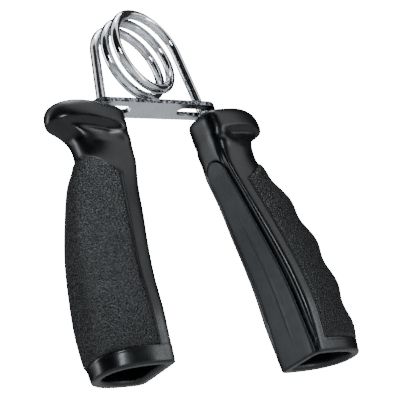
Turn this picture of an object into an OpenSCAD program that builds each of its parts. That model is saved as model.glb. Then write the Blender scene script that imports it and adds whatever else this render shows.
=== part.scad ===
// Hand grip strengthener: two moulded handles on the legs of an open torsion spring, held at
// their preload by a slotted steel plate that both legs pass through.
// X runs from the left handle to the right one, Y along the coil's axis and Z up. The origin is
// on the plane that both handle ends stand on, under the middle of the whole part.

/* [Spring] */
// Wire diameter
wire_d = 4.25; // [3.5:0.05:4.6]
// Mean diameter of the coil
coil_d = 36.2; // [30:0.2:43]
// Rise of the wire along the coil's axis in one turn
coil_pitch = 6.5; // [5.4:0.1:7.8]
// Lean of each leg away from the vertical
leg_lean = 10.1; // [9:0.1:12]
// Length of each straight leg, from the coil to its cut end
leg_length = 114; // [97:1:124]

/* [Bridge plate] */
// Distance from the coil's axis down to the middle of the plate
plate_drop = 27; // [25:0.2:32]
// Width of the plate
plate_width = 12.2; // [10.2:0.1:15]
// Thickness of the plate
plate_thickness = 2.2; // [1.5:0.1:3]
// Metal between the outer end of each slot and the end of the plate
plate_margin = 3.6; // [2.5:0.1:6]
// Length of each slot
slot_length = 15.5; // [13:0.5:17]

/* [Handles] */
// Length of each handle, measured along its leg
handle_length = 115.5; // [103:0.5:138]
// Greatest width of each handle, along the coil's axis
handle_width = 28; // [25:0.2:30]
// Width of the neck under the collar
neck_width = 18; // [16:0.2:20]
// Greatest distance from the leg out to the back of the palm handle
palm_depth = 21.8; // [19.8:0.1:26]
// Greatest distance from the leg out to the crests of the finger handle
finger_depth = 26.5; // [24.5:0.5:32]
// Distance from the leg out to the back of the neck
neck_depth = 14.5; // [13:0.5:17]
// Distance from the leg in to the inner face of the neck
neck_inner = 8.8; // [7.8:0.2:10]
// Distance from the leg in to the inner face at its waist
waist_inner = 6.2; // [5.6:0.1:7.4]
// Distance from the leg in to the inner face at the open end
end_inner = 10; // [8.5:0.5:12]
// Distance from the leg out to the tip of the collar's beak
beak_reach = 26.5; // [23.5:0.5:32]
// Distance from the leg in to the collar's inner edge
collar_inner = 7.2; // [6.6:0.1:9]
// Half width of the collar
collar_half_width = 9.6; // [8.8:0.2:11.6]
// Droop of the beak's tip below the top of the collar
beak_droop = 2.8; // [1:0.2:6]
// Distance between the crests that part the fingers
finger_pitch = 19.2; // [17:0.4:22]
// Depth of each finger groove
finger_groove = 2.6; // [1:0.1:4]
// Distance from each leg out along the coil's axis to its handle's middle plane
handle_offset = 1; // [0:0.1:1.6]
// Turn of each handle about its leg, which makes the two inner faces look at each other
handle_twist = 13.5; // [0:0.5:16]

/* [Skins] */
// Wall left around the hollow of a handle
wall = 2.4; // [1.8:0.1:3]
// Thickness of the textured grip pad
pad_thickness = 1.6; // [1.2:0.1:2.2]
// Thickness of the inner cover
cover_thickness = 2; // [1.5:0.1:2.6]
// Smooth band between the inner face and the top of the palm pad's edge
palm_band = 9.4; // [7:0.2:11]
// Smooth band between the inner face and the edge of the finger pad
finger_band = 7.2; // [6:0.2:9]
// Smooth band between the pad and the open end
end_band = 6.4; // [5:0.2:8]
// Shoulder left on each side of the inner cover
cover_shoulder = 3; // [2:0.1:4]

/* [Fits] */
// Radial clearance around the wire in the handles and the push nuts
wire_clearance = 0.08; // [0.05:0.01:0.15]
// Clearance at each side of the wire in the plate's slots
slot_clearance = 0.45; // [0.3:0.05:0.7]
// Gap between the plate and the collars under it
plate_gap = 2.1; // [0.8:0.1:4]
// Gap around the inner cover
cover_gap = 0.15; // [0.1:0.05:0.3]

/* [Hidden] */

wire_r = wire_d / 2;
coil_r = coil_d / 2;
// The wire turns two and a half times, less the lean of both legs
coil_sweep = 900 - 2 * leg_lean;
coil_height = coil_pitch * coil_sweep / 360;
leg_y = coil_height / 2;
wire_sides = 12;
wire_steps = 80;
stop_clearance = 0.15;

// Where a leg crosses the middle of the plate, measured from the coil's axis
leg_x_at_plate = (coil_r + plate_drop * sin(leg_lean)) / cos(leg_lean);
leg_from_middle = sqrt(pow(leg_x_at_plate, 2) + pow(leg_y, 2));
plate_yaw = -atan(leg_y / leg_x_at_plate);
slot_width = wire_d + 2 * slot_clearance;
// The leaning wire is a little longer than wide where it goes through the plate
wire_half_length = wire_r / cos(leg_lean) + plate_thickness / 2 * tan(leg_lean);
slot_outer = leg_from_middle + wire_half_length + stop_clearance;
slot_inner = slot_outer - slot_length;
plate_half_length = slot_outer + plate_margin;

// The top of the collar clears the plate where the plate reaches out past the leg
collar_top = (plate_drop + plate_thickness / 2 + plate_gap
    + (coil_r + plate_half_length - leg_from_middle) * sin(leg_lean)) / cos(leg_lean);
handle_end = collar_top + handle_length;
coil_z = handle_end * cos(leg_lean) - coil_r * sin(leg_lean);
handle_y = leg_y + handle_offset;

// Depths below the collar's top
collar_height = 15;
neck_at = 27;
pad_top = neck_at;
pad_slant = 8;
arch_top = 22;
hollow_top = neck_at + 1;
ledge_top = hollow_top + 1.7;
pad_end = handle_length - end_band;
first_crest = neck_at + finger_pitch;

// The web that steadies the leg sits just above the push nut, near the leg's cut end
leg_tail = 1.6;
nut_thickness = 1.2;
nut_r = min(wire_r + 1.6, waist_inner - cover_thickness - 0.4);
web_thickness = 8;
web_end = leg_length - collar_top - leg_tail - nut_thickness;

hollow_inset = pad_thickness + wall;
lip_proud = 0.8;
cover_ledge = 1.4;
cover_half_width = neck_width / 2 - cover_shoulder;
cover_end_half_width = handle_width / 2 - cover_shoulder;
// The squarer inner part of each section is this deep, and the beak droops from this far out
inner_part = 8;
beak_from = 8;
skin_points = 24;
ring_step = 3.9;
far = 60;

// Stations down a handle: depth, inner face, outer face, half width
collar_stations = [
    [0, collar_inner - 0.8, beak_reach - 3.2, collar_half_width - 1.4],
    [1.5, collar_inner - 0.2, beak_reach - 0.9, collar_half_width - 0.4],
    [5, collar_inner, beak_reach, collar_half_width],
    [9, mix(collar_inner, neck_inner, 0.3), beak_reach - 0.8, collar_half_width],
    [12, mix(collar_inner, neck_inner, 0.6), mix(neck_depth, beak_reach, 0.6), collar_half_width - 0.6],
    [collar_height, mix(collar_inner, neck_inner, 0.8), neck_depth + 3, neck_width / 2 + 0.6],
    [19, neck_inner, neck_depth + 0.8, neck_width / 2 + 0.1],
    [neck_at, neck_inner, neck_depth, neck_width / 2]
];
function down(share) = mix(neck_at, handle_length, share);
function body_stations(depth) = [
    [down(0.13), mix(waist_inner, neck_inner, 0.6), mix(neck_depth, depth, 0.5), half_width_at(0.12)],
    [down(0.29), mix(waist_inner, neck_inner, 0.3), mix(neck_depth, depth, 0.8), half_width_at(0.42)],
    [down(0.46), waist_inner, depth, half_width_at(0.66)],
    [down(0.62), waist_inner, depth - 0.2, half_width_at(0.86)],
    [down(0.79), mix(waist_inner, end_inner, 0.36), depth - 1.4, half_width_at(1)],
    [handle_length, end_inner, depth - 4.6, half_width_at(0.68)]
];
function half_width_at(share) = mix(neck_width, handle_width, share) / 2;
palm_stations = concat(collar_stations, body_stations(palm_depth));
finger_stations = concat(collar_stations, body_stations(finger_depth));

function mix(low, high, share) = low + (high - low) * share;
function clamp01(v) = max(0, min(1, v));
function smooth(low, high, v) = let (t = clamp01((v - low) / (high - low))) t * t * (3 - 2 * t);

// Slope of one column of the stations at row i, for a smooth curve through them
function slope(rows, col, i) =
    let (a = max(0, i - 1), b = min(len(rows) - 1, i + 1))
    (rows[b][col] - rows[a][col]) / (rows[b][0] - rows[a][0]);
function segment(rows, d, i = 0) = i >= len(rows) - 2 || d < rows[i + 1][0] ? i : segment(rows, d, i + 1);
function curve(rows, col, d) =
    let (i = segment(rows, d), gap = rows[i + 1][0] - rows[i][0], t = clamp01((d - rows[i][0]) / gap))
    rows[i][col] * (1 + 2 * t) * pow(1 - t, 2) + rows[i + 1][col] * t * t * (3 - 2 * t)
    + gap * slope(rows, col, i) * t * pow(1 - t, 2)
    - gap * slope(rows, col, i + 1) * t * t * (1 - t);

// Finger grooves: a wave between the first crest's finger and the open end
function groove(d) =
    finger_groove * (0.5 - 0.5 * cos(360 * (d - first_crest) / finger_pitch))
    * smooth(first_crest - finger_pitch, first_crest - finger_pitch / 2, d)
    * (1 - smooth(pad_end - 3, pad_end + 1, d));

// The smooth rim around the open end stands proud of the pad
function lip(inset, d) = inset == 0 && d > pad_end + 0.3 ? lip_proud : 0;
// Drop of a point below its own station, at a distance x out from the leg
function drop(x, d) =
    beak_droop * pow(clamp01((x - beak_from) / (beak_reach - beak_from)), 2)
    * (1 - smooth(collar_height - 5, collar_height + 6, d))
    + x * tan(leg_lean) * smooth(neck_at, handle_length, d);
// Further drop of a point near the open end, which brings the whole rim into one level plane
function rim_drop(x, y, d) =
    (x * (cos(handle_twist) - 1) + y * sin(handle_twist)) * tan(leg_lean) * smooth(pad_end + 1, handle_length, d);

// One point of a handle's skin: x out from the leg, y across, z up along the leg
function skin_point(rows, grooved, inset, d, angle) =
    let (
        inner = curve(rows, 1, d) - inset,
        outer = curve(rows, 2, d) - inset + lip(inset, d) - (grooved ? groove(d) : 0),
        half_width = curve(rows, 3, d) - inset + lip(inset, d),
        middle = inner_part - inner,
        squareness = angle > 90 && angle < 270 ? mix(0.54, 0.3, smooth(collar_height, neck_at, d)) : 0.85,
        reach = cos(angle) >= 0 ? outer - middle : middle + inner,
        x = middle + reach * sign(cos(angle)) * pow(abs(cos(angle)), squareness),
        y = half_width * sign(sin(angle)) * pow(abs(sin(angle)), squareness)
    )
    [x, y, -collar_top - d - drop(x, d) - rim_drop(x, y, d)];

// Depths of the rings: close together on the collar and the rim, even between them
function levels(from, to) =
    let (start = max(from, neck_at), end = min(to, pad_end + 0.2), n = ceil((end - start) / ring_step))
    concat(
        from < neck_at ? [0, 0.6, 1.5, 3.5, 7, 9.5, 11.5, 13.5, 16, 20] : [],
        [for (i = [0:n]) mix(start, end, i / n)],
        to > pad_end ? [pad_end + 0.6, mix(pad_end, handle_length, 0.5), to] : []
    );

// A closed solid inside a handle's skin, from one depth to another
module skin_solid(rows, grooved, inset, from, to) {
    depths = levels(from, to);
    n = skin_points;
    rings = [for (d = depths) [for (k = [0:n - 1]) skin_point(rows, grooved, inset, d, 360 * k / n)]];
    for (r = [0:len(rings) - 2])
        hull()
            polyhedron(points = concat(rings[r], rings[r + 1]), faces = tube_faces(2, n));
}

// Everything outside the smooth band, between the pad's slanted top edge and its bottom edge
module pad_window(rows, band) {
    steps = 12;
    edge = [for (i = [0:steps])
        let (
            d = mix(pad_top + pad_slant, pad_end, i / steps),
            x = mix(band, finger_band, i / steps) - curve(rows, 1, d)
        )
        [x, -collar_top - d - drop(x, d)]];
    top_slope = pad_slant / (neck_depth + neck_inner - band);
    rotate([90, 0, 0])
        linear_extrude(height = far, center = true)
            polygon(concat(edge, [
                [far, -collar_top - pad_end - drop(far, pad_end)],
                [far, -collar_top - pad_top + top_slope * (far - neck_depth)]
            ]));
}

// A bar through the inner face with the arch-topped outline of the inner cover
module cover_bar(gap) {
    arch_at = -collar_top - arch_top - cover_half_width;
    rotate([0, -90, 0])
        linear_extrude(height = far) {
            translate([arch_at, 0])
                circle(r = cover_half_width + gap, $fn = 40);
            polygon([
                [arch_at, -cover_half_width - gap],
                [arch_at, cover_half_width + gap],
                [-handle_end - 10, cover_end_half_width + gap],
                [-handle_end - 10, -cover_end_half_width - gap]
            ]);
        }
}

// The hollow below the solid neck, crossed by the web
module hollow(rows, grooved) {
    difference() {
        skin_solid(rows, grooved, hollow_inset, hollow_top, handle_length + 6);
        translate([-far / 2, -far / 2, -collar_top - web_end])
            cube([far, far, web_thickness]);
    }
}

module handle_body(rows, grooved) {
    color("#1c1d20")
        difference() {
            skin_solid(rows, grooved, 0, 0, handle_length);
            difference() {
                pad_window(rows, grooved ? finger_band : palm_band);
                skin_solid(rows, grooved, pad_thickness, neck_at, handle_length + 6);
            }
            difference() {
                cover_bar(cover_gap);
                skin_solid(rows, grooved, cover_thickness, 0, handle_length + 6);
            }
            intersection() {
                cover_bar(-cover_ledge);
                skin_solid(rows, grooved, cover_thickness / 2, ledge_top, handle_length + 6);
                not_the_web();
            }
            hollow(rows, grooved);
            rotate([0, 0, handle_twist])
                translate([0, handle_offset, -handle_end])
                    rotate([0, 0, 2.5])
                        cylinder(r = wire_r + wire_clearance, h = handle_end, $fn = 48);
        }
}

module not_the_web() {
    difference() {
        translate([-far, -far, -2 * handle_end])
            cube([far, 2 * far, 2 * handle_end]);
        translate([-far, -far, -collar_top - web_end])
            cube([far, 2 * far, web_thickness]);
    }
}

module inner_cover(rows, grooved) {
    color("#2a2c30")
        difference() {
            intersection() {
                skin_solid(rows, grooved, 0, 0, handle_length);
                cover_bar(0);
            }
            skin_solid(rows, grooved, cover_thickness, 0, handle_length + 6);
        }
}

module grip_pad(rows, grooved) {
    color("#26272a")
        difference() {
            intersection() {
                skin_solid(rows, grooved, 0, 0, handle_length);
                pad_window(rows, grooved ? finger_band : palm_band);
            }
            skin_solid(rows, grooved, pad_thickness, neck_at, handle_length + 6);
        }
}

// A stamped washer gripping the wire just below the web
module push_nut() {
    color("silver")
        rotate([0, 0, handle_twist])
            translate([0, handle_offset, -leg_length + leg_tail])
                difference() {
                    cylinder(r = nut_r, h = nut_thickness, $fn = 48);
                    translate([0, 0, -1])
                        cylinder(r = wire_r + wire_clearance, h = nut_thickness + 2, $fn = 48);
                }
}

// Puts a handle's pieces on its leg: side is 1 on the right and -1 on the left
module on_leg(side) {
    translate([coil_x, 0, coil_z])
        rotate([0, 0, side > 0 ? 0 : 180])
            translate([coil_r * cos(leg_lean), -handle_y, coil_r * sin(leg_lean)])
                rotate([0, -leg_lean, 0])
                    rotate([0, 0, -handle_twist])
                        children();
}

// Furthest reach of a handle from the coil's axis, along X
function reach_of(rows, grooved) = max([
    for (d = levels(0, handle_length), k = [0:skin_points - 1])
        let (p = skin_point(rows, grooved, 0, d, 360 * k / skin_points))
        (coil_r + p[0] * cos(handle_twist) + p[1] * sin(handle_twist)) * cos(leg_lean) - p[2] * sin(leg_lean)
]);
coil_x = (reach_of(palm_stations, false) - reach_of(finger_stations, true)) / 2;

// Middle of the wire at an angle around the coil, from the right leg to the left one
function coil_point(angle) =
    let (share = (angle - leg_lean) / coil_sweep)
    [coil_r * cos(angle), mix(-leg_y, leg_y, share), coil_r * sin(angle)];
function leg_tip(side) = [
    side * (coil_r * cos(leg_lean) + leg_length * sin(leg_lean)),
    -side * leg_y,
    coil_r * sin(leg_lean) - leg_length * cos(leg_lean)
];

// One ring of points around the wire: outward is the direction away from the coil's axis
function wire_ring(middle, angle, rise) = [
    for (k = [0:wire_sides - 1])
        let (
            a = 360 * k / wire_sides,
            outward = [cos(angle), 0, sin(angle)],
            along = [-sin(angle) * cos(rise), sin(rise), cos(angle) * cos(rise)]
        )
        middle + wire_r * (cos(a) * outward + sin(a) * cross(outward, along))
];

module torsion_spring() {
    rise = atan(coil_height / (coil_r * coil_sweep * PI / 180));
    last = 900 - leg_lean;
    n = wire_sides;
    rings = concat(
        [wire_ring(leg_tip(1), leg_lean, 0)],
        [for (i = [0:wire_steps])
            let (angle = mix(leg_lean, last, i / wire_steps))
            wire_ring(coil_point(angle), angle, i == 0 || i == wire_steps ? 0 : rise)],
        [wire_ring(leg_tip(-1), last, 0)]
    );
    color("gainsboro")
        translate([coil_x, 0, coil_z])
            polyhedron(points = [for (ring = rings, p = ring) p], faces = tube_faces(len(rings), n));
}

// Faces of a tube of rings, wound to face outward, with both ends closed
function tube_faces(rings, n) = concat(
    [[for (k = [n - 1:-1:0]) k]],
    [for (r = [0:rings - 2], k = [0:n - 1]) [r * n + k, r * n + (k + 1) % n, r * n + n + k]],
    [for (r = [0:rings - 2], k = [0:n - 1]) [r * n + (k + 1) % n, r * n + n + (k + 1) % n, r * n + n + k]],
    [[for (k = [0:n - 1]) (rings - 1) * n + k]]
);

// A flat bar with round ends, lying along X
module round_bar(from, to, width, height) {
    translate([from + width / 2, -width / 2, 0])
        cube([to - from - width, width, height]);
    for (x = [from + width / 2, to - width / 2])
        translate([x, 0, 0])
            cylinder(d = width, h = height, $fn = 48);
}

module bridge_plate() {
    color("silver")
        translate([coil_x, 0, coil_z - plate_drop - plate_thickness / 2])
            rotate([0, 0, plate_yaw])
                difference() {
                    round_bar(-plate_half_length, plate_half_length, plate_width, plate_thickness);
                    for (turn = [0, 180])
                        rotate([0, 0, turn])
                            translate([0, 0, -1])
                                round_bar(slot_inner, slot_outer, slot_width, plate_thickness + 2);
                }
}

module left_handle_body() { on_leg(-1) handle_body(palm_stations, false); }
module left_inner_cover() { on_leg(-1) inner_cover(palm_stations, false); }
module left_grip_pad() { on_leg(-1) grip_pad(palm_stations, false); }
module left_push_nut() { on_leg(-1) push_nut(); }
module right_handle_body() { on_leg(1) handle_body(finger_stations, true); }
module right_inner_cover() { on_leg(1) inner_cover(finger_stations, true); }
module right_grip_pad() { on_leg(1) grip_pad(finger_stations, true); }
module right_push_nut() { on_leg(1) push_nut(); }

torsion_spring();
bridge_plate();
left_handle_body();
left_inner_cover();
left_grip_pad();
left_push_nut();
right_handle_body();
right_inner_cover();
right_grip_pad();
right_push_nut();
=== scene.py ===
"""Looks for the hand grip strengthener: chromed spring, plated bridge, and two moulded handles with
arch-topped inner covers and leather-grained pads. Lengths are in millimetres, along the part's own
axes, and turned into metres when a point is placed. Lights and the floor are placed in metres."""
import bpy
import bmesh
import math
from mathutils import Matrix, Vector


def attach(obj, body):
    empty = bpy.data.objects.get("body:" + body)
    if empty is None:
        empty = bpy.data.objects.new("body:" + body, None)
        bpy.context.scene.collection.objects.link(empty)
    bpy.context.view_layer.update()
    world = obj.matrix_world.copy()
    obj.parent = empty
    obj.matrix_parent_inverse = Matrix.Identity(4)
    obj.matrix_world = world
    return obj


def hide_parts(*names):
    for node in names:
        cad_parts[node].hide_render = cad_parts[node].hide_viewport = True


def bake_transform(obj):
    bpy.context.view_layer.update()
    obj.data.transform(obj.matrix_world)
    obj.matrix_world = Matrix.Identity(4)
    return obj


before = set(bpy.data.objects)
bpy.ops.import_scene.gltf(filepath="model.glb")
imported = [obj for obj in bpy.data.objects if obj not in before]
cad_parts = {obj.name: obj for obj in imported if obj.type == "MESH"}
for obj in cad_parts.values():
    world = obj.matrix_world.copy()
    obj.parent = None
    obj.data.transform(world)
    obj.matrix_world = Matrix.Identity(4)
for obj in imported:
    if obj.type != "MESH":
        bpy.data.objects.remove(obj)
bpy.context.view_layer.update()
MM = 0.001

# The spring, as in the CAD part
WIRE_R = 2.125
COIL_R = 18.1
COIL_PITCH = 6.5
LEAN_DEGREES = 10.1
LEAN = math.radians(LEAN_DEGREES)
LEG_LENGTH = 114
COIL_SWEEP = 900 - 2 * LEAN_DEGREES
LEG_Y = COIL_PITCH * COIL_SWEEP / 720
COIL = Vector((-2.2406, 0, 144.981))

# The handles, as in the CAD part; depths are measured down the leg from the collar's top
COLLAR_TOP = 34.987
HANDLE_LENGTH = 115.5
HANDLE_Y = LEG_Y + 1
TWIST = math.radians(13.5)
HANDLE_WIDTH = 28
PALM_DEPTH, FINGER_DEPTH = 21.8, 26.5
NECK_WIDTH, NECK_DEPTH, NECK_INNER, NECK_AT = 18, 14.5, 8.8, 27
WAIST_INNER, END_INNER = 6.2, 10
COLLAR_INNER, COLLAR_HALF, COLLAR_HEIGHT = 7.2, 9.6, 15
BEAK_REACH, BEAK_DROOP, BEAK_FROM = 26.5, 2.8, 8
FINGER_PITCH, GROOVE_DEPTH = 19.2, 2.6
END_BAND, PALM_BAND, FINGER_BAND, PAD_SLANT = 6.4, 9.4, 7.2, 8
BAND_EVENS_OVER = 75
PAD_END = HANDLE_LENGTH - END_BAND
ARCH_TOP, SHOULDER = 22, 3
ARCH_AT = ARCH_TOP + NECK_WIDTH / 2 - SHOULDER
COVER_WIDENS_AT, COVER_WIDENS_OVER = 30, 82
HOLLOW_INSET, WEB_TOP = 4.0, 66

# Each section is a squarer inner part of fixed depth and a rounder outer part
INNER_PART = 8
OUTER_POWER = 2 / 0.85
COLLAR_SQUARENESS, BODY_SQUARENESS = 0.54, 0.3

# Details of the moulding's skin
LIP_PROUD = 0.1
PAD_RECESS, COVER_RECESS = 1.1, 1.3
BEAD_HEIGHT, BEAD_WIDTH, BEAD_AT = 0.22, 0.42, 0.55
CHANNEL_DEPTH, CHANNEL_WIDTH, CHANNEL_AT = 1.1, 1.0, 0.9
SCOOP_DEPTH = 1.7
CREASE_DEPTH, CREASE_WIDTH, CREASE_AT = 0.22, 0.045, 0.1
PAD_WALL, COVER_WALL = 0.9, 1.2


def mix(low, high, share):
    return low + (high - low) * share


def clamp01(v):
    return max(0.0, min(1.0, v))


def smooth(low, high, v):
    t = clamp01((v - low) / (high - low))
    return t * t * (3 - 2 * t)


# ---- the handle's skin -------------------------------------------------------------------

def half_width_at(share):
    return mix(NECK_WIDTH, HANDLE_WIDTH, share) / 2


def down(share):
    return mix(NECK_AT, HANDLE_LENGTH, share)


def stations(depth):
    """Depth, inner face, outer face and half width at each station down a handle."""
    return [
        (0, COLLAR_INNER - 0.8, BEAK_REACH - 3.2, COLLAR_HALF - 1.4),
        (1.5, COLLAR_INNER - 0.2, BEAK_REACH - 0.9, COLLAR_HALF - 0.4),
        (5, COLLAR_INNER, BEAK_REACH, COLLAR_HALF),
        (9, mix(COLLAR_INNER, NECK_INNER, 0.3), BEAK_REACH - 0.8, COLLAR_HALF),
        (12, mix(COLLAR_INNER, NECK_INNER, 0.6), mix(NECK_DEPTH, BEAK_REACH, 0.6), COLLAR_HALF - 0.6),
        (COLLAR_HEIGHT, mix(COLLAR_INNER, NECK_INNER, 0.8), NECK_DEPTH + 3, NECK_WIDTH / 2 + 0.6),
        (19, NECK_INNER, NECK_DEPTH + 0.8, NECK_WIDTH / 2 + 0.1),
        (NECK_AT, NECK_INNER, NECK_DEPTH, NECK_WIDTH / 2),
        (down(0.13), mix(WAIST_INNER, NECK_INNER, 0.6), mix(NECK_DEPTH, depth, 0.5), half_width_at(0.12)),
        (down(0.29), mix(WAIST_INNER, NECK_INNER, 0.3), mix(NECK_DEPTH, depth, 0.8), half_width_at(0.42)),
        (down(0.46), WAIST_INNER, depth, half_width_at(0.66)),
        (down(0.62), WAIST_INNER, depth - 0.2, half_width_at(0.86)),
        (down(0.79), mix(WAIST_INNER, END_INNER, 0.36), depth - 1.4, half_width_at(1)),
        (HANDLE_LENGTH, END_INNER, depth - 4.6, half_width_at(0.68)),
    ]


def curve(rows, col, d):
    """A smooth curve through one column of the stations."""
    last = len(rows) - 1
    i = 0
    while i < last - 1 and d >= rows[i + 1][0]:
        i += 1

    def slope(k):
        a, b = max(0, k - 1), min(last, k + 1)
        return (rows[b][col] - rows[a][col]) / (rows[b][0] - rows[a][0])
    gap = rows[i + 1][0] - rows[i][0]
    t = clamp01((d - rows[i][0]) / gap)
    return (rows[i][col] * (1 + 2 * t) * (1 - t) ** 2 + rows[i + 1][col] * t * t * (3 - 2 * t)
            + gap * slope(i) * t * (1 - t) ** 2 - gap * slope(i + 1) * t * t * (1 - t))


class Handle:
    """One handle's shape; side is 1 for the right one, with finger grooves, and -1 for the left one."""

    def __init__(self, name, side, depth, grooved, band):
        self.name, self.side, self.grooved, self.band = name, side, grooved, band
        self.rows = stations(depth)
        self.cache = {}

    def groove(self, d):
        """Depth of the finger grooves, a wave that fades out above the first finger and at the end."""
        first = NECK_AT + FINGER_PITCH
        wave = 0.5 - 0.5 * math.cos(2 * math.pi * (d - first) / FINGER_PITCH)
        fade = smooth(first - FINGER_PITCH, first - FINGER_PITCH / 2, d)
        return GROOVE_DEPTH * wave * fade * (1 - smooth(PAD_END - 3, PAD_END + 1, d))

    def section(self, d):
        """Inner reach, outer reach, half width and inner corner's power of the section at a depth."""
        key = round(d, 3)
        if key not in self.cache:
            inner, outer, half = (curve(self.rows, col, d) for col in (1, 2, 3))
            if self.grooved:
                outer -= self.groove(d)
            power = 2 / mix(COLLAR_SQUARENESS, BODY_SQUARENESS, smooth(COLLAR_HEIGHT, NECK_AT, d))
            self.cache[key] = (inner, outer, half, power)
        return self.cache[key]

    def lip(self, d):
        """How far the end band stands proud of the pad."""
        return LIP_PROUD * smooth(PAD_END + 0.1, PAD_END + 0.7, d)

    def local(self, d, angle, inset):
        """Point of the skin: x out from the leg, y across, z up along the leg."""
        inner, outer, half, power = self.section(d)
        middle = INNER_PART - inner
        c, s = math.cos(angle), math.sin(angle)
        n = power if c < 0 else OUTER_POWER
        r = (abs(c) ** n + abs(s) ** n) ** (-1 / n)
        reach = (outer - middle if c >= 0 else INNER_PART) - inset
        x = middle + reach * c * r
        y = (half - inset) * s * r
        return Vector((x, y, self.height(x, y, d)))

    def height(self, x, y, d):
        """Height of a point: the beak droops, and the open end comes level with the part's base."""
        droop = BEAK_DROOP * clamp01((x - BEAK_FROM) / (BEAK_REACH - BEAK_FROM)) ** 2
        beak = droop * (1 - smooth(COLLAR_HEIGHT - 5, COLLAR_HEIGHT + 6, d))
        tilt = x * math.tan(LEAN) * smooth(NECK_AT, HANDLE_LENGTH, d)
        level = (x * (math.cos(TWIST) - 1) + y * math.sin(TWIST)) * math.tan(LEAN)
        return -COLLAR_TOP - d - beak - tilt - level * smooth(PAD_END + 1, HANDLE_LENGTH, d)

    def world(self, p):
        """From the handle's own axes to the part's, in metres."""
        turn = Matrix.Rotation(-TWIST, 4, "Z")
        lean = Matrix.Rotation(-LEAN, 4, "Y")
        place = Matrix.Translation((COIL_R * math.cos(LEAN), -HANDLE_Y, COIL_R * math.sin(LEAN)))
        swap = Matrix.Rotation(0 if self.side > 0 else math.pi, 4, "Z")
        return (Matrix.Translation(COIL) @ swap @ place @ lean @ turn @ p) * MM

    def pad_edge(self, d):
        """Where the pad's long edge lies, out from the leg."""
        band = mix(self.band, FINGER_BAND, clamp01((d - NECK_AT - PAD_SLANT) / BAND_EVENS_OVER))
        return band - self.section(d)[0]

    def pad_top(self, x):
        """Depth of the pad's slanted top edge."""
        return NECK_AT + PAD_SLANT * (NECK_DEPTH - x) / (NECK_DEPTH + NECK_INNER - self.band)

    def pad_angle(self, d):
        """Angle at which the pad's long edge lies."""
        inner, outer, _, power = self.section(d)
        middle = INNER_PART - inner
        beyond = self.pad_edge(d) - middle
        share = beyond / (outer - middle if beyond > 0 else INNER_PART)
        n = power if share < 0 else OUTER_POWER
        return math.atan2((1 - min(1, abs(share)) ** n) ** (1 / n), share)

    def cover_half(self, d):
        """Half width of the inner cover."""
        widening = clamp01((d - COVER_WIDENS_AT) / COVER_WIDENS_OVER)
        return mix(NECK_WIDTH, HANDLE_WIDTH, widening) / 2 - SHOULDER

    def cover_gap(self, d, y):
        """Distance from the cover's outline, negative inside it."""
        if d < ARCH_AT:
            return math.hypot(y, d - ARCH_AT) - self.cover_half(ARCH_AT)
        return abs(y) - self.cover_half(d)


# ---- mesh building -----------------------------------------------------------------------

def sheet(name, columns, rows, place, closed=False, thickness=0.0):
    """A grid whose points are put where place(column, row) says; closed welds its two sides."""
    mesh = bpy.data.meshes.new(name)
    bm = bmesh.new()
    bmesh.ops.create_grid(bm, x_segments=columns, y_segments=rows, size=1)
    for v in bm.verts:
        v.co = place(round((v.co.x + 1) / 2 * columns), round((v.co.y + 1) / 2 * rows))
    if closed:
        bmesh.ops.remove_doubles(bm, verts=bm.verts, dist=2e-6)
        rims = [e for e in bm.edges if e.is_boundary]
        if rims:
            bmesh.ops.holes_fill(bm, edges=rims)
    bmesh.ops.recalc_face_normals(bm, faces=bm.faces)
    bm.to_mesh(mesh)
    bm.free()
    mesh.shade_smooth()
    piece = bpy.data.objects.new(name, mesh)
    bpy.context.scene.collection.objects.link(piece)
    if thickness:
        solid = piece.modifiers.new("thickness", "SOLIDIFY")
        solid.thickness = thickness * MM
        solid.offset = -1
    return piece


def body_recess(handle, d, angle):
    """How far the body's skin is sunk: under the pad and the cover, beside the cover and below the
    collar. A thin bead stands along the pad's edge."""
    plain = handle.local(d, angle, 0)
    half = handle.section(d)[2]
    recess = 0.0
    if NECK_AT - 4 < d < PAD_END + 2:
        edge = min(plain.x - handle.pad_edge(d), d - handle.pad_top(plain.x), PAD_END - d)
        bead = BEAD_HEIGHT * math.exp(-((edge + BEAD_AT) / BEAD_WIDTH) ** 2)
        recess = PAD_RECESS * smooth(-0.2, 0.3, edge) - bead
    if math.cos(angle) < 0 and abs(plain.y) < half - 0.6:
        beside = abs(plain.y) - handle.cover_half(max(d, ARCH_AT)) - CHANNEL_AT
        channel = CHANNEL_DEPTH * math.exp(-(beside / CHANNEL_WIDTH) ** 2)
        channel *= smooth(COLLAR_HEIGHT - 2, ARCH_TOP + 8, d)
        seat = COVER_RECESS * (1 - smooth(0.1, 0.6, handle.cover_gap(d, plain.y)))
        recess = max(recess, channel, seat)
    under_collar = smooth(8.6, 12, d) * (1 - smooth(12.5, 20, d))
    on_side = smooth(0.45, 0.95, abs(math.sin(angle))) * smooth(-4, 4, plain.x)
    return recess + SCOOP_DEPTH * under_collar * on_side


def moulding_profile():
    """Depth and inset of each ring: the closed top, the skin, the rounded rim and the hollow."""
    end = HANDLE_LENGTH
    skin_end, ring_gap, hollow_rings = end - 0.9, 0.6, 20
    top = [(0, 7.6), (0, 6), (0, 3), (0, 1.2), (0, 0.45), (0.12, 0.12)]
    rings = int((skin_end - 2) / ring_gap)
    skin = [(d, 0) for d in (0.4, 0.9, 1.5)]
    skin += [(mix(2, skin_end, i / rings), 0) for i in range(rings + 1)]
    rim = [(end - 0.4, 0.12), (end, 0.6), (end, 1.6), (end, 2.6), (end - 0.3, 3.3), (end - 1, 3.7)]
    hollow = [(mix(end - 2, WEB_TOP, i / hollow_rings), HOLLOW_INSET) for i in range(hollow_rings + 1)]
    return top + skin + rim + hollow


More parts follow.
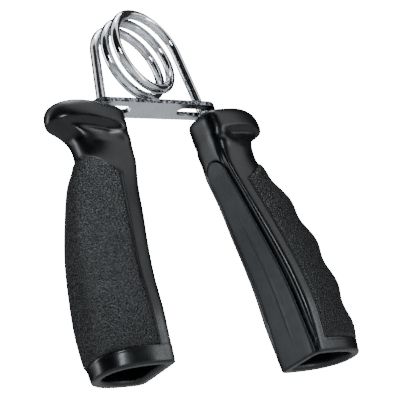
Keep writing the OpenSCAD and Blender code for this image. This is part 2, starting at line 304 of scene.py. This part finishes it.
def handle_body(handle):
    """The moulding, as one closed skin from the collar's top round the rim and up the hollow."""
    path = moulding_profile()
    columns = 180

    def place(i, j):
        d, inset = path[j]
        angle = 2 * math.pi * (i % columns) / columns
        extra = body_recess(handle, d, angle) if inset == 0 else 0
        return handle.world(handle.local(d, angle, inset + extra - handle.lip(d)))
    return sheet(handle.name + "_moulding", columns, len(path) - 1, place, closed=True)


def grip_pad(handle):
    """The panel round the outer side, with its borders rolled in."""
    columns, rows = 120, 150
    top_at = NECK_AT + 4
    rolled = (0.75, 0.18, 0.04)

    def place(i, j):
        v = 2 * i / columns - 1
        top_x = handle.local(top_at, v * handle.pad_angle(top_at), 0).x
        d = mix(handle.pad_top(top_x) + 0.25, PAD_END - 0.1, j / rows)
        border = min(i, columns - i, j, rows - j)
        inset = rolled[border] if border < len(rolled) else 0
        reach = handle.pad_angle(d) * 0.992
        return handle.world(handle.local(d, v * reach, inset))
    return sheet(handle.name + "_pad_skin", columns, rows, place, thickness=PAD_WALL)


def inner_cover(handle):
    """The arch-topped strip in the inner face, with a faint lengthwise crease."""
    columns, rows, arch_rows = 40, 170, 40
    arch_rise = ARCH_AT - ARCH_TOP
    rolled = (0.55, 0.15, 0.03)
    proud = 0.12

    def place(i, j):
        t = 2 * i / columns - 1
        if j < arch_rows:
            d = ARCH_AT - arch_rise * math.cos(math.pi / 2 * j / arch_rows)
        else:
            d = mix(ARCH_AT, HANDLE_LENGTH - 0.35, (j - arch_rows) / (rows - arch_rows))
        half_cover = handle.cover_half(max(d, ARCH_AT))
        if d < ARCH_AT:
            up_the_arch = (ARCH_AT - d) * half_cover / arch_rise
            half_cover = math.sqrt(max(0.01, half_cover ** 2 - up_the_arch ** 2))
        y = t * half_cover
        inner, _, half, power = handle.section(d)
        border = min(i, columns - i, j)
        inset = rolled[border] if border < len(rolled) else 0
        crease = CREASE_DEPTH * math.exp(-((t + CREASE_AT) / CREASE_WIDTH) ** 2)
        crease *= smooth(45, 60, d) * (1 - smooth(95, 110, d))
        reach = INNER_PART * max(0.0, 1 - (abs(y) / half) ** power) ** (1 / power)
        x = INNER_PART - inner - reach + inset - crease - proud
        return handle.world(Vector((x, y, handle.height(x, y, d))))
    return sheet(handle.name + "_cover_skin", columns, rows, place, thickness=COVER_WALL)


def coil_point(share):
    """Middle of the wire along the coil, from the right leg (0) to the left one (1)."""
    angle = math.radians(LEAN_DEGREES + COIL_SWEEP * share)
    return Vector((COIL_R * math.cos(angle), mix(-LEG_Y, LEG_Y, share), COIL_R * math.sin(angle)))


def leg_end(side):
    return Vector((side * (COIL_R * math.cos(LEAN) + LEG_LENGTH * math.sin(LEAN)), -side * LEG_Y,
                   COIL_R * math.sin(LEAN) - LEG_LENGTH * math.cos(LEAN)))


def coil_wire():
    """The whole wire: a path with a round bevel, turned into a mesh."""
    leg_steps, coil_steps = 8, 220
    right_end, left_end = leg_end(1), leg_end(-1)
    path = [right_end.lerp(coil_point(0), k / leg_steps) for k in range(leg_steps)]
    path += [coil_point(k / coil_steps) for k in range(coil_steps + 1)]
    path += [coil_point(1).lerp(left_end, k / leg_steps) for k in range(1, leg_steps + 1)]
    data = bpy.data.curves.new("wire_path", "CURVE")
    data.dimensions = "3D"
    data.bevel_depth = WIRE_R * MM
    data.bevel_resolution = 8
    data.use_fill_caps = True
    spline = data.splines.new("POLY")
    spline.points.add(len(path) - 1)
    for point, p in zip(spline.points, path):
        point.co = ((p + COIL) * MM).to_4d()
    shown = bpy.data.objects.new("wire_path", data)
    bpy.context.scene.collection.objects.link(shown)
    graph = bpy.context.evaluated_depsgraph_get()
    mesh = bpy.data.meshes.new_from_object(shown.evaluated_get(graph))
    bpy.data.objects.remove(shown)
    mesh.shade_smooth()
    wire = bpy.data.objects.new("spring_wire", mesh)
    bpy.context.scene.collection.objects.link(wire)
    return wire


# ---- materials ---------------------------------------------------------------------------

class Look:
    """A material, with helpers for patterns on the piece's own coordinates."""

    def __init__(self, name, colour, roughness, metallic=0.0, specular=0.5):
        self.material = bpy.data.materials.new(name)
        self.material.use_nodes = True
        self.nodes = self.material.node_tree.nodes
        self.links = self.material.node_tree.links
        self.shader = self.nodes["Principled BSDF"]
        self.shader.inputs["Base Color"].default_value = (*colour, 1)
        self.shader.inputs["Roughness"].default_value = roughness
        self.shader.inputs["Metallic"].default_value = metallic
        self.shader.inputs["Specular IOR Level"].default_value = specular
        self.place = self.nodes.new("ShaderNodeTexCoord")

    def noise(self, scale, detail=3.0, roughness=0.5):
        node = self.nodes.new("ShaderNodeTexNoise")
        node.inputs["Scale"].default_value = scale
        node.inputs["Detail"].default_value = detail
        node.inputs["Roughness"].default_value = roughness
        self.links.new(self.place.outputs["Object"], node.inputs["Vector"])
        return node.outputs["Fac"]

    def cells(self, scale):
        """Soft-edged cells, low in their middles."""
        node = self.nodes.new("ShaderNodeTexVoronoi")
        node.feature = "SMOOTH_F1"
        node.inputs["Scale"].default_value = scale
        node.inputs["Smoothness"].default_value = 0.35
        self.links.new(self.place.outputs["Object"], node.inputs["Vector"])
        return node.outputs["Distance"]

    def ramp(self, value, low, high, start=0.3, end=0.7):
        """Colours from low to high while the value goes from start to end."""
        node = self.nodes.new("ShaderNodeValToRGB")
        node.color_ramp.elements[0].position = start
        node.color_ramp.elements[1].position = end
        node.color_ramp.elements[0].color = (*low, 1)
        node.color_ramp.elements[1].color = (*high, 1)
        self.links.new(value, node.inputs["Fac"])
        return node.outputs["Color"]

    def tint(self, value, low, high, start=0.3, end=0.7):
        self.into("Base Color", self.ramp(value, low, high, start, end))

    def gloss(self, value, low, high, end=0.7):
        """Roughness between low and high."""
        self.into("Roughness", self.ramp(value, (low,) * 3, (high,) * 3, 0.3, end))

    def bump(self, height, strength, distance):
        node = self.nodes.new("ShaderNodeBump")
        node.inputs["Strength"].default_value = strength
        node.inputs["Distance"].default_value = distance
        self.links.new(height, node.inputs["Height"])
        self.into("Normal", node.outputs["Normal"])

    def into(self, socket, value):
        self.links.new(value, self.shader.inputs[socket])


def chrome():
    """Bright chromed wire with a faint orange peel."""
    look = Look("chromed_wire", (0.82, 0.83, 0.85), 0.06, metallic=1)
    look.tint(look.noise(260, 2), (0.62, 0.63, 0.66), (0.92, 0.93, 0.95))
    look.gloss(look.noise(900, 4), 0.03, 0.14, end=0.75)
    look.bump(look.noise(420, 2), 0.12, 0.0003)
    return look.material


# Direction that the bridge plate's long sides face
PLATE_SIDE = (0.324, 0.946, 0)


def plated_sheet():
    """Bright plated faces; the long sides are coloured dark and speckled."""
    look = Look("plated_sheet", (0.8, 0.82, 0.84), 0.2, metallic=1)
    long_side = look.nodes.new("ShaderNodeVectorMath")
    long_side.operation = "DOT_PRODUCT"
    long_side.inputs[1].default_value = PLATE_SIDE
    look.links.new(look.place.outputs["Normal"], long_side.inputs[0])
    # The long sides are coloured dark with grey speckles, picked by how squarely a face points along
    # PLATE_SIDE
    long_side_facing = look.nodes.new("ShaderNodeMath")
    long_side_facing.operation = "ABSOLUTE"
    look.links.new(long_side.outputs["Value"], long_side_facing.inputs[0])
    flat = look.nodes.new("ShaderNodeMapRange")
    flat.inputs["From Min"].default_value = 0.75
    flat.inputs["From Max"].default_value = 0.98
    flat.inputs["To Min"].default_value = 1
    flat.inputs["To Max"].default_value = 0
    look.links.new(long_side_facing.outputs[0], flat.inputs["Value"])
    speckle = look.ramp(look.noise(900, 5, 0.7), (0.012, 0.014, 0.02), (0.5, 0.52, 0.56), 0.46, 0.66)
    plain = look.ramp(look.noise(90, 2), (0.66, 0.69, 0.72), (0.84, 0.86, 0.88))
    both = look.nodes.new("ShaderNodeMix")
    both.data_type = "RGBA"
    look.links.new(flat.outputs[0], both.inputs["Factor"])
    look.links.new(speckle, both.inputs["A"])
    look.links.new(plain, both.inputs["B"])
    look.into("Base Color", both.outputs["Result"])
    look.gloss(look.noise(1500, 4), 0.16, 0.34)
    return look.material


def satin_black():
    """Smooth black moulded plastic."""
    look = Look("satin_black", (0.003, 0.0035, 0.0045), 0.26, specular=0.45)
    look.tint(look.noise(45), (0.002, 0.0022, 0.003), (0.0035, 0.004, 0.005))
    look.gloss(look.noise(160, 4), 0.22, 0.33)
    look.bump(look.noise(1400, 4), 0.10, 0.0002)
    return look.material


def satin_cover():
    """The covers' plastic: duller than the mouldings, with a lighter, bluer base colour painted in as the
    covers' blue-grey sheen.
    """
    # Painted sheen: this base colour is lighter and bluer than the mouldings' black to stand in for the
    # sheen the covers reflect; the higher roughness is real
    look = Look("satin_cover", (0.009, 0.011, 0.014), 0.36, specular=0.4)
    look.tint(look.noise(30), (0.007, 0.009, 0.012), (0.011, 0.013, 0.017))
    look.gloss(look.noise(240, 4), 0.33, 0.45)
    look.bump(look.noise(1200, 4), 0.12, 0.0002)
    return look.material


def pebbled_pad():
    """Black leather grain: rounded pebbles under a millimetre across, with painted shade in the crevices
    between them.
    """
    look = Look("pebbled_pad", (0.012, 0.013, 0.016), 0.3, specular=0.45)
    pebbles = look.cells(1500)
    # Painted shade: the pebbles' raised middles are coloured lighter and the low crevices between them
    # darker
    look.tint(pebbles, (0.007, 0.008, 0.010), (0.002, 0.0025, 0.003), 0.1, 0.6)
    look.gloss(look.noise(700), 0.2, 0.34)
    grain = look.nodes.new("ShaderNodeMath")
    grain.operation = "SUBTRACT"
    look.links.new(look.noise(1100, 4, 0.6), grain.inputs[0])
    look.links.new(pebbles, grain.inputs[1])
    look.bump(grain.outputs[0], 0.7, 0.0007)
    return look.material


def nut_steel():
    look = Look("nut_steel", (0.5, 0.51, 0.53), 0.35, metallic=1)
    look.tint(look.noise(500), (0.36, 0.37, 0.39), (0.6, 0.61, 0.63))
    return look.material


def pale_floor():
    look = Look("pale_floor", (0.86, 0.86, 0.87), 0.7)
    look.tint(look.noise(6, 2), (0.84, 0.84, 0.85), (0.88, 0.88, 0.89))
    return look.material


def paint(piece, material):
    piece.data.materials.clear()
    piece.data.materials.append(material)


# ---- the object --------------------------------------------------------------------------

plastic, cover_plastic, pad, metal = satin_black(), satin_cover(), pebbled_pad(), chrome()
sheet_metal, steel = plated_sheet(), nut_steel()
looks = {"torsion_spring": metal, "bridge_plate": sheet_metal}
for side in ("left", "right"):
    looks.update({side + "_handle_body": plastic, side + "_inner_cover": cover_plastic,
                  side + "_grip_pad": pad, side + "_push_nut": steel})
for node, material in looks.items():
    paint(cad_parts[node], material)

palm_handle = Handle("left", -1, PALM_DEPTH, False, PALM_BAND)
finger_handle = Handle("right", 1, FINGER_DEPTH, True, FINGER_BAND)
for handle in (palm_handle, finger_handle):
    for make, node, material, slot in (
            (handle_body, "handle_body", plastic, "handle_plastic"),
            (inner_cover, "inner_cover", cover_plastic, "cover_plastic"),
            (grip_pad, "grip_pad", pad, "pad_grain")):
        piece = make(handle)
        paint(piece, material)
        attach(piece, handle.name)
        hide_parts(handle.name + "_" + node)

wire = coil_wire()
paint(wire, metal)
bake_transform(wire)
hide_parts("torsion_spring")


# ---- studio ------------------------------------------------------------------------------

# The view looks up at the part from its front left, below the level that it stands on
AZIMUTH, ELEVATION, ROLL = math.radians(55.559), math.radians(23.614), math.radians(17.65)
DISTANCE, LENS, SENSOR = 419.86, 89.81, 36
AIM = COIL + Vector((12.722, 0, -69.569))
FLOOR_Z, FLOOR_HALF = -0.22, 6
COOL_WHITE = (0.88, 0.95, 1.0)
BACKDROP = 18.0
# Light of the surroundings from behind the viewer (0) through the sides (0.5) to straight ahead (1)
RING = ((0.0, 0.01), (0.2, 0.015), (0.38, 0.03), (0.46, 1.5), (0.58, 1.5), (0.68, 0.03), (1.0, 0.03))


def view_axes():
    """The view's right, up and forward directions."""
    look = Vector((math.sin(AZIMUTH) * math.cos(ELEVATION), math.cos(AZIMUTH) * math.cos(ELEVATION),
                   math.sin(ELEVATION)))
    level = Vector((math.cos(AZIMUTH), -math.sin(AZIMUTH), 0))
    up = level.cross(look)
    right = math.cos(ROLL) * level - math.sin(ROLL) * up
    return right, math.sin(ROLL) * level + math.cos(ROLL) * up, look


def add_camera():
    right, up, look = view_axes()
    data = bpy.data.cameras.new("view")
    data.sensor_width = SENSOR
    data.lens = LENS
    data.clip_start = 0.01
    camera = bpy.data.objects.new("view", data)
    turn = Matrix((right, up, -look)).transposed().to_4x4()
    camera.matrix_world = Matrix.Translation((AIM - look * DISTANCE) * MM) @ turn
    bpy.context.scene.collection.objects.link(camera)
    bpy.context.scene.camera = camera


def add_light(name, offset, size, power, tall=None):
    """A soft box aimed at the part, offset right, up and back along the view, in metres."""
    right, up, look = view_axes()
    centre = Vector((0, 0, 0.08))
    place = centre + right * offset[0] + up * offset[1] - look * offset[2]
    data = bpy.data.lights.new(name, "AREA")
    data.shape = "RECTANGLE"
    data.size, data.size_y = size, tall or size
    data.energy = power
    data.color = COOL_WHITE
    lamp = bpy.data.objects.new(name, data)
    turn = (centre - place).to_track_quat("-Z", "Y").to_matrix().to_4x4()
    lamp.matrix_world = Matrix.Translation(place) @ turn
    bpy.context.scene.collection.objects.link(lamp)


def add_floor():
    """A pale floor well below the part, since the view comes from under its base."""
    mesh = bpy.data.meshes.new("floor")
    bm = bmesh.new()
    bmesh.ops.create_grid(bm, x_segments=1, y_segments=1, size=FLOOR_HALF,
                          matrix=Matrix.Translation((0, 0, FLOOR_Z)))
    bm.to_mesh(mesh)
    bm.free()
    floor = bpy.data.objects.new("floor", mesh)
    bpy.context.scene.collection.objects.link(floor)
    paint(floor, pale_floor())


def add_world():
    """White where the camera sees it. What the metal mirrors is a bright ring to the sides of the
    view, dark before and behind, which gives the wire its lengthwise streaks."""
    world = bpy.data.worlds.new("studio")
    bpy.context.scene.world = world
    world.use_nodes = True
    nodes, links = world.node_tree.nodes, world.node_tree.links
    back = nodes["Background"]
    place = nodes.new("ShaderNodeTexCoord")
    toward = nodes.new("ShaderNodeVectorMath")
    toward.operation = "DOT_PRODUCT"
    toward.inputs[1].default_value = view_axes()[2]
    links.new(place.outputs["Generated"], toward.inputs[0])
    spread = nodes.new("ShaderNodeMapRange")
    spread.inputs["From Min"].default_value = -1
    links.new(toward.outputs["Value"], spread.inputs["Value"])
    ramp = nodes.new("ShaderNodeValToRGB")
    ramp.color_ramp.interpolation = "EASE"
    while len(ramp.color_ramp.elements) < len(RING):
        ramp.color_ramp.elements.new(0.5)
    for element, (position, light) in zip(ramp.color_ramp.elements, RING):
        element.position = position
        element.color = (light, light, light, 1)
    links.new(spread.outputs["Result"], ramp.inputs["Fac"])
    seen = nodes.new("ShaderNodeLightPath")
    shown = nodes.new("ShaderNodeMix")
    shown.data_type = "FLOAT"
    links.new(seen.outputs["Is Camera Ray"], shown.inputs["Factor"])
    links.new(ramp.outputs["Color"], shown.inputs["A"])
    shown.inputs["B"].default_value = BACKDROP
    links.new(shown.outputs["Result"], back.inputs["Strength"])
    back.inputs["Color"].default_value = (0.96, 0.985, 1, 1)


add_camera()
add_world()
add_floor()
add_light("left", (-0.85, 0.1, 0.05), 0.2, 2.2, 0.7)
add_light("key", (0.12, 0.5, 0.75), 0.16, 2.4)
add_light("right", (0.85, 0.25, 0.2), 0.14, 1.8, 0.6)
add_light("top", (0.0, 1.0, -0.3), 0.5, 5)
